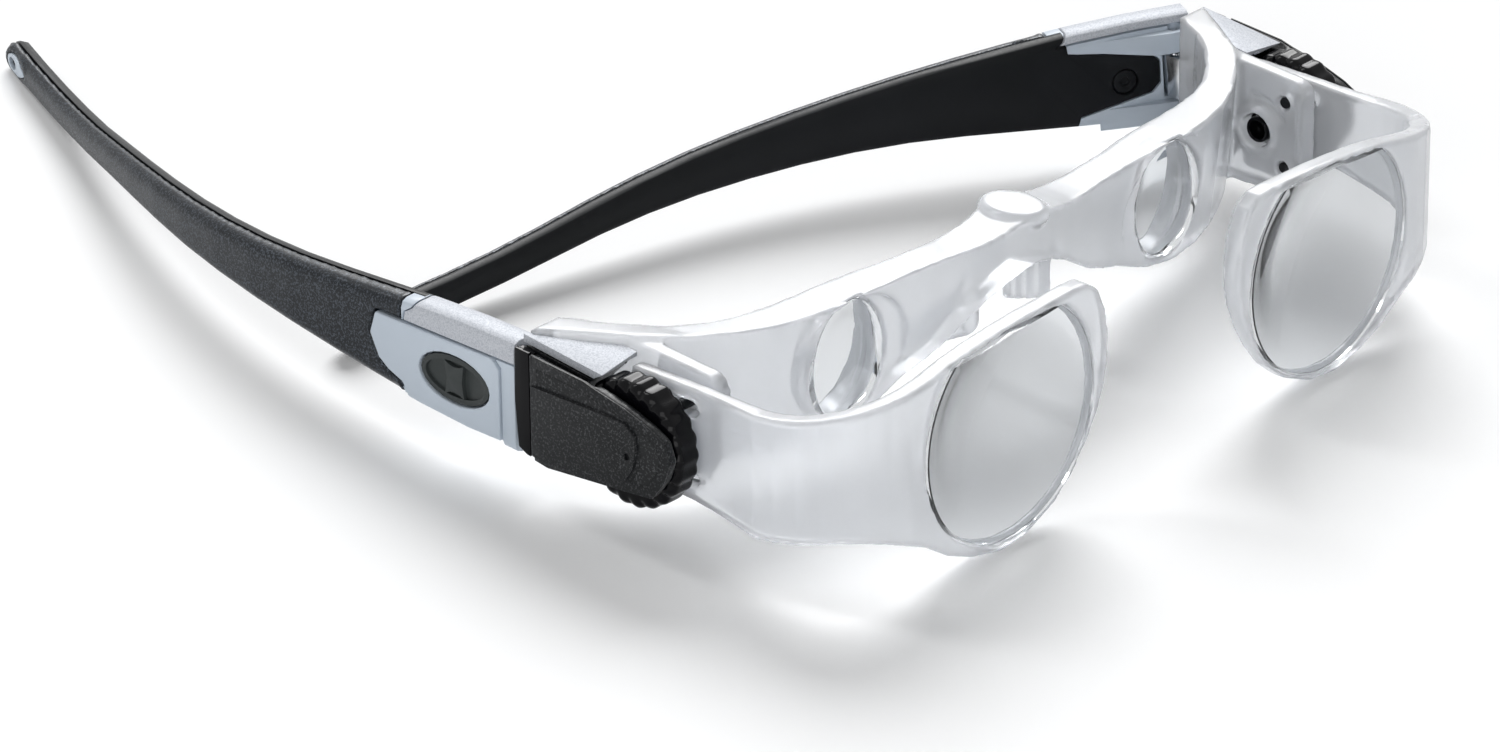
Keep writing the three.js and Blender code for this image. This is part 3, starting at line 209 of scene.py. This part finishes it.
clear("satin_clear", (0.85, 0.865, 0.89), 0.24, 0.34, IOR=1.42)
# The lenses' grey tint is painted shade: clear acrylic greyed to stand in for the darker surroundings seen in
# and through them
clear("lens_clear", (0.7, 0.715, 0.73), 0, 0.02, IOR=1.32)
flecked_with_painted_glints(
    "silver", (0.42, 0.445, 0.49), (0.55, 0.57, 0.61), 0.42, 0.5,
    Metallic=0.1, Specular_IOR_Level=0.15,
)
# Light flecks in the graphite: the arms' sparkle, painted into the colour as glints
flecked_with_painted_glints(
    "graphite", (0.006, 0.008, 0.011), (0.075, 0.088, 0.108), 0.51, 0.33, 0.3,
    Metallic=0.2, Specular_IOR_Level=0.26,
)
# The bright flecks in the black grain are painted glints, standing in for the sparkle of its textured surface
flecked_with_painted_glints(
    "black_grain_painted_glints", (0.006, 0.007, 0.008), (0.06, 0.062, 0.066), 0.53, 0.36, 0.34,
    Specular_IOR_Level=0.2,
)
plastic("blue_grey", (0.49, 0.555, 0.63), (0.53, 0.595, 0.67), 0.42, 0.3, 0.08, 0.02)
plastic(
    "gloss_black", (0.002, 0.002, 0.003), (0.004, 0.004, 0.005), 0.13, 0.8, 0.04, 0.02,
    Specular_IOR_Level=0.12,
)
plastic(
    "soft_black", (0.008, 0.009, 0.01), (0.012, 0.013, 0.015), 0.34, 0.5, 0.06, 0.02,
    Specular_IOR_Level=0.1,
)
plastic(
    "dark_grey", (0.03, 0.036, 0.036), (0.042, 0.048, 0.048), 0.4, 0.25, 0.2, 0.03,
    Specular_IOR_Level=0.25,
)
plastic("steel", (0.6, 0.61, 0.63), (0.72, 0.73, 0.74), 0.16, 0.6, 0.04, 0.01, Metallic=1.0)


# Ways of making a piece. Sizes are in mm and angles in degrees.

COPY_WELD = 0.003
TURNED_WELD = 0.002
FLAT_ANGLE = 0.8
EDGE_ANGLE = 32
SMOOTH_ANGLE = 38
SMOOTH_STEP = 0.5
TURNED_STEPS = 96
DOME_RINGS = 8


def only(piece):
    bpy.ops.object.select_all(action="DESELECT")
    piece.select_set(True)
    bpy.context.view_layer.objects.active = piece


def cleaned(piece):
    only(piece)
    bpy.ops.object.mode_set(mode="EDIT")
    bpy.ops.mesh.select_all(action="SELECT")
    bpy.ops.mesh.remove_doubles(threshold=COPY_WELD * MM)
    bpy.ops.mesh.normals_make_consistent(inside=False)
    bpy.ops.object.mode_set(mode="OBJECT")


def finished(piece, name, body, finish, node):
    piece.name = name
    piece.data.name = name
    piece.data.materials.clear()
    piece.data.materials.append(FINISHES[finish])
    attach(piece, body)
    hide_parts(node)


def copied(node):
    only(frame["nodes"][node])
    bpy.ops.object.duplicate()
    piece = bpy.context.object
    bpy.ops.object.parent_clear(type="CLEAR_KEEP_TRANSFORM")
    del piece["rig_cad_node"]
    del piece["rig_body"]
    cleaned(piece)
    return piece


def applied(piece, kind, **settings):
    only(piece)
    modifier = piece.modifiers.new(kind.lower(), kind)
    for key, value in settings.items():
        setattr(modifier, key, value)
    bpy.ops.object.modifier_apply(modifier=modifier.name)


def rounded(piece, width, segments, edge=EDGE_ANGLE):
    """Bevels the edges that are sharper than the edge angle"""
    applied(
        piece, "BEVEL", width=width * MM, segments=segments, limit_method="ANGLE",
        angle_limit=math.radians(edge), use_clamp_overlap=True, miter_outer="MITER_ARC",
    )
    bpy.ops.object.shade_smooth_by_angle(angle=math.radians(SMOOTH_ANGLE))


def softened(piece, grain, rounds):
    """Makes one skin of small cubes and smooths it"""
    only(piece)
    piece.data.remesh_voxel_size = grain * MM
    piece.data.use_remesh_fix_poles = False
    piece.data.use_remesh_preserve_volume = False
    bpy.ops.object.voxel_remesh()
    applied(piece, "SMOOTH", factor=SMOOTH_STEP, iterations=rounds)
    bpy.ops.object.shade_smooth()


def body_of(node):
    return frame["nodes"][node]["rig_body"]


def eased(node, finish, slot, width, segments):
    """A copy of a CAD solid with its edges rounded over"""
    piece = copied(node)
    bpy.ops.object.mode_set(mode="EDIT")
    bpy.ops.mesh.dissolve_limited(angle_limit=math.radians(FLAT_ANGLE))
    bpy.ops.object.mode_set(mode="OBJECT")
    rounded(piece, width, segments)
    finished(piece, node + "_shell", body_of(node), finish, node)


def moulded(node, finish, slot, grain, rounds):
    """A copy of a CAD solid as one soft-edged moulding"""
    piece = copied(node)
    softened(piece, grain, rounds)
    finished(piece, node + "_moulding", body_of(node), finish, node)


def surface_of(node):
    mesh = frame["nodes"][node].data
    corners = [corner.co for corner in mesh.vertices]
    return BVHTree.FromPolygons(corners, [tuple(face.vertices) for face in mesh.polygons])


def swept(node, finish, slot, grain, rounds, neighbours, reach):
    """A moulding that is broadly rounded, except within reach of its neighbours"""
    piece = copied(node)
    softened(piece, grain, 1)
    met = [surface_of(neighbour) for neighbour in neighbours]
    free = piece.vertex_groups.new(name="free")
    free.add([
        vertex.index for vertex in piece.data.vertices
        if all(tree.find_nearest(vertex.co, reach * MM)[0] is None for tree in met)
    ], 1.0, "REPLACE")
    applied(piece, "SMOOTH", factor=SMOOTH_STEP, iterations=rounds, vertex_group="free")
    bpy.ops.object.shade_smooth()
    finished(piece, node + "_moulding", body_of(node), finish, node)


def trimmed(piece, place, normal):
    """Cuts away what lies beyond a plane of the worn glasses"""
    only(piece)
    bpy.ops.object.mode_set(mode="EDIT")
    bpy.ops.mesh.select_all(action="SELECT")
    bpy.ops.mesh.bisect(
        plane_co=LYING @ (Vector(place) * MM), plane_no=TIPPED.to_3x3() @ Vector(normal),
        use_fill=True, clear_outer=True,
    )
    bpy.ops.object.mode_set(mode="OBJECT")


def outer_side(node, sign):
    """How far a node reaches outwards"""
    low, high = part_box(node)
    return abs((high if sign > 0 else low)[0]) / MM


def turned(profile, centre):
    """A profile of (radius, along) spun about the fore and aft axis of the worn glasses"""
    bpy.ops.object.select_all(action="DESELECT")
    along = Vector((0, 1, 0))
    out = Vector((0, 0, 1))
    middle = Vector(centre) * MM
    points = [middle + along * a * MM + out * r * MM for r, a in profile]
    bpy.ops.mesh.primitive_plane_add(size=MM, location=(0, 0, 0))
    piece = bpy.context.object
    bpy.ops.object.mode_set(mode="EDIT")
    bpy.ops.mesh.select_all(action="SELECT")
    bpy.ops.mesh.merge(type="CENTER")
    bpy.ops.transform.translate(value=points[0])
    for before, after in zip(points, points[1:]):
        bpy.ops.mesh.extrude_vertices_move(TRANSFORM_OT_translate={"value": after - before})
    bpy.ops.mesh.select_all(action="SELECT")
    bpy.ops.mesh.spin(steps=TURNED_STEPS, angle=math.tau, center=middle, axis=along)
    bpy.ops.mesh.select_all(action="SELECT")
    bpy.ops.mesh.remove_doubles(threshold=TURNED_WELD * MM)
    bpy.ops.mesh.normals_make_consistent(inside=False)
    bpy.ops.object.mode_set(mode="OBJECT")
    return piece


def laid(piece):
    """Moves a piece made as worn to where the glasses lie"""
    only(piece)
    piece.matrix_world = LYING @ piece.matrix_world
    bpy.ops.object.transform_apply(location=True, rotation=True, scale=True)
    return piece


def dome(radius, rise):
    """Radius and height of each ring of a shallow cap, from its rim to its pole"""
    inward = [i / DOME_RINGS for i in range(1, DOME_RINGS + 1)]
    return [(radius * (1 - share), rise * (1 - (1 - share) ** 2)) for share in inward]


# Front lenses, with a flat where they meet the carrier's top edge

LENS_CENTRE = 32
LENS_RADIUS = 16.1
LENS_FACE = -28.5
LENS_EDGE = 1.5
LENS_CORNER = 0.15
LENS_STEP = 0.9
FRONT_RISE = 1.6
REAR_RISE = 1.0
LENS_SMOOTH_ANGLE = 30
FLAT_TOP = 12.95
FLAT_FALL = 0.11

rear = LENS_FACE + LENS_EDGE
front_cap = [(r, LENS_FACE - rise) for r, rise in dome(LENS_RADIUS, FRONT_RISE)]
rear_cap = [(r, rear + rise) for r, rise in dome(LENS_RADIUS - LENS_STEP, REAR_RISE)]
edge = [
    (LENS_RADIUS - LENS_STEP, rear),
    (LENS_RADIUS - LENS_CORNER, rear),
    (LENS_RADIUS, rear - LENS_CORNER),
    (LENS_RADIUS, LENS_FACE + LENS_CORNER),
    (LENS_RADIUS - LENS_CORNER, LENS_FACE),
]

for side, sign in SIDES.items():
    lens = laid(turned(rear_cap[::-1] + edge + front_cap, (sign * LENS_CENTRE, 0, 0)))
    for normal in (0, 0, 1), (sign * FLAT_FALL, 0, 1):
        trimmed(lens, (sign * LENS_CENTRE, 0, FLAT_TOP), normal)
    bpy.ops.object.shade_smooth_by_angle(angle=math.radians(LENS_SMOOTH_ANGLE))
    finished(lens, f"front_lens_{side}", f"carrier_{side}", "lens_clear", f"objective_lens_{side}")


# Mouldings: the size of the cubes, and the rounds of smoothing

FRAME_MOULD = (0.32, 8)
CARRIER_MOULD = (0.28, 8)
COVER_MOULD = (0.18, 44)
WHEEL_MOULD = (0.15, 36)
ARM_MOULD = (0.3, 60)
ARM_REACH = 0.9
ARM_MEETS = ("arm_liner", "temple_shell", "outer_panel", "temple_clip", "tip_inlay")

# Pieces with their edges rounded over: finish, slot, width of the bevel and its segments

EASED = {
    "eyepiece_lens": ("lens_clear", "lens", 0.12, 2),
    "wheel_axle": ("steel", "steel", 0.12, 1),
    "guide_pin_upper": ("soft_black", "black_plastic", 0.12, 1),
    "guide_pin_lower": ("soft_black", "black_plastic", 0.12, 1),
    "housing_body": ("black_grain_painted_glints", "black_plastic", 0.3, 2),
    "hinge_leaf": ("steel", "steel", 0.15, 2),
    "hinge_pin": ("steel", "steel", 0.12, 2),
    "temple_clip": ("blue_grey", "blue_grey", 0.2, 2),
    "temple_shell": ("silver", "silver_plastic", 0.2, 3),
    "outer_panel": ("blue_grey", "blue_grey", 0.4, 4),
    "release_button": ("dark_grey", "dark_grey", 0.15, 2),
    "arm_liner": ("soft_black", "black_plastic", 0.2, 2),
    "arm_screw": ("soft_black", "black_plastic", 0.12, 2),
    "tip_inlay": ("blue_grey", "blue_grey", 0.12, 2),
}


def eased_all(side, *parts):
    for part in parts:
        eased(f"{part}_{side}", *EASED[part])


# Frame and carriers

moulded("eyepiece_frame", "satin_clear", "clear_frame", *FRAME_MOULD)
for side in SIDES:
    moulded(f"objective_carrier_{side}", "satin_clear", "clear_frame", *CARRIER_MOULD)
    eased_all(side, "eyepiece_lens")

# Housing covers: a broadly rounded shell, a bare raised plate on it and a black rim behind

COVER_REAR = 21.2
RIM_WIDTH = 2.0
RIM_START = COVER_REAR - RIM_WIDTH
RIM_INSET = 0.2
RIM_BEVEL = (0.55, 4)
SHELL_INSET = 0.01
PLATE_RAISE = 0.4
PLATE_SEAT = 0.2
PLATE_REAR = 18.3
PLATE_BEVEL = (0.16, 2)
PLATE_EDGE_ANGLE = 40

for side, sign in SIDES.items():
    node = f"housing_cover_{side}"
    face = outer_side(node, sign) - PLATE_RAISE

    # All three are copied before the first one hides the CAD node
    shell, rim, plate = copied(node), copied(node), copied(node)
    trimmed(shell, (sign * (face - SHELL_INSET), 0, 0), (sign, 0, 0))
    trimmed(shell, (0, RIM_START, 0), (0, 1, 0))
    softened(shell, *COVER_MOULD)
    trimmed(rim, (sign * (face - RIM_INSET), 0, 0), (sign, 0, 0))
    trimmed(rim, (0, RIM_START, 0), (0, -1, 0))
    rounded(rim, *RIM_BEVEL)
    trimmed(plate, (sign * (face - PLATE_SEAT), 0, 0), (-sign, 0, 0))
    trimmed(plate, (0, PLATE_REAR, 0), (0, 1, 0))
    rounded(plate, *PLATE_BEVEL, PLATE_EDGE_ANGLE)

    finished(shell, f"cover_shell_{side}", "front", "black_grain_painted_glints", node)
    finished(rim, f"cover_rim_{side}", "front", "gloss_black", node)
    finished(plate, f"bare_plate_{side}", "front", "black_grain_painted_glints", node)

# Focusing wheels with soft lobes

for side in SIDES:
    moulded(f"focus_wheel_{side}", "gloss_black", "gloss_black", *WHEEL_MOULD)

# Side blocks, hinges and temples

CAP_INSET = 0.9
CAP_BEVEL = (0.3, 3)

for side, sign in SIDES.items():
    eased_all(side, "wheel_axle", "guide_pin_upper", "guide_pin_lower", "housing_body")

    node = f"top_cap_{side}"
    cap = copied(node)
    trimmed(cap, (sign * (outer_side(node, sign) - CAP_INSET), 0, 0), (sign, 0, 0))
    rounded(cap, *CAP_BEVEL)
    finished(cap, f"{node}_shell", "front", "silver", node)

    eased_all(side, "hinge_leaf", "hinge_pin", "temple_clip", "temple_shell", "outer_panel", "release_button")
    meets = [f"{part}_{side}" for part in ARM_MEETS]
    swept(f"temple_arm_{side}", "graphite", "graphite", *ARM_MOULD, meets, ARM_REACH)
    eased_all(side, "arm_liner", "arm_screw", "tip_inlay")


# Table, light and sky

WHITE = (1, 1, 1, 1)
SKY_SEEN = 1.0
SKY_LIGHT = 0.22
TABLE_SIZE = 6
TABLE_COLOUR = (0.9, 0.905, 0.91, 1)
TABLE_SEEN = 0.1
AIM = Vector((0, -0.02, 0.015))
KEY_ANGLE = 36


def larger(nodes, links, first, second):
    most = nodes.new("ShaderNodeMath")
    most.operation = "MAXIMUM"
    links.new(first, most.inputs[0])
    links.new(second, most.inputs[1])
    return most.outputs[0]


def backdrop_strength(nodes, links, seen, lit):
    """One strength where the camera, gloss or glass looks at it, and another as a light"""
    rays = nodes.new("ShaderNodeLightPath").outputs
    looked_at = larger(nodes, links, rays["Is Camera Ray"], rays["Is Glossy Ray"])
    looked_at = larger(nodes, links, looked_at, rays["Is Transmission Ray"])
    return spread(nodes, links, looked_at, lit, seen, (0, 1))


sky = bpy.data.worlds.new("studio")
bpy.context.scene.world = sky
sky.use_nodes = True
nodes, links = sky.node_tree.nodes, sky.node_tree.links
nodes["Background"].inputs["Color"].default_value = WHITE
links.new(backdrop_strength(nodes, links, SKY_SEEN, SKY_LIGHT), nodes["Background"].inputs["Strength"])

bpy.ops.mesh.primitive_plane_add(size=TABLE_SIZE, location=(0, 0, 0))
table = bpy.context.object
table.name = "table"
nodes, links, shader = wired("table_white")
set_values(shader, Base_Color=TABLE_COLOUR, Roughness=0.9, Specular_IOR_Level=0.0, Emission_Color=WHITE)
links.new(backdrop_strength(nodes, links, TABLE_SEEN, 0.0), shader.inputs["Emission Strength"])
table.data.materials.append(FINISHES["table_white"])


def lamp(name, kind, place, energy):
    bpy.ops.object.light_add(type=kind, location=place)
    light = bpy.context.object
    light.name = name
    light.data.energy = energy
    light.rotation_euler = (AIM - light.location).to_track_quat("-Z", "Y").to_euler()
    return light.data


lamp("key_from_behind", "SUN", (0.9, 0.8, 1.05), 3.0).angle = math.radians(KEY_ANGLE)

for name, place, energy, size in (
    ("softbox_side", (-0.8, -0.55, 0.2), 4.2, (0.6, 0.8)),
    ("strip_above_left", (-0.33, 0.64, 0.83), 2.2, (0.14, 0.5)),
):
    box = lamp(name, "AREA", place, energy)
    box.shape = "RECTANGLE"
    box.size, box.size_y = size

scene = bpy.context.scene
scene.view_settings.view_transform = "Standard"
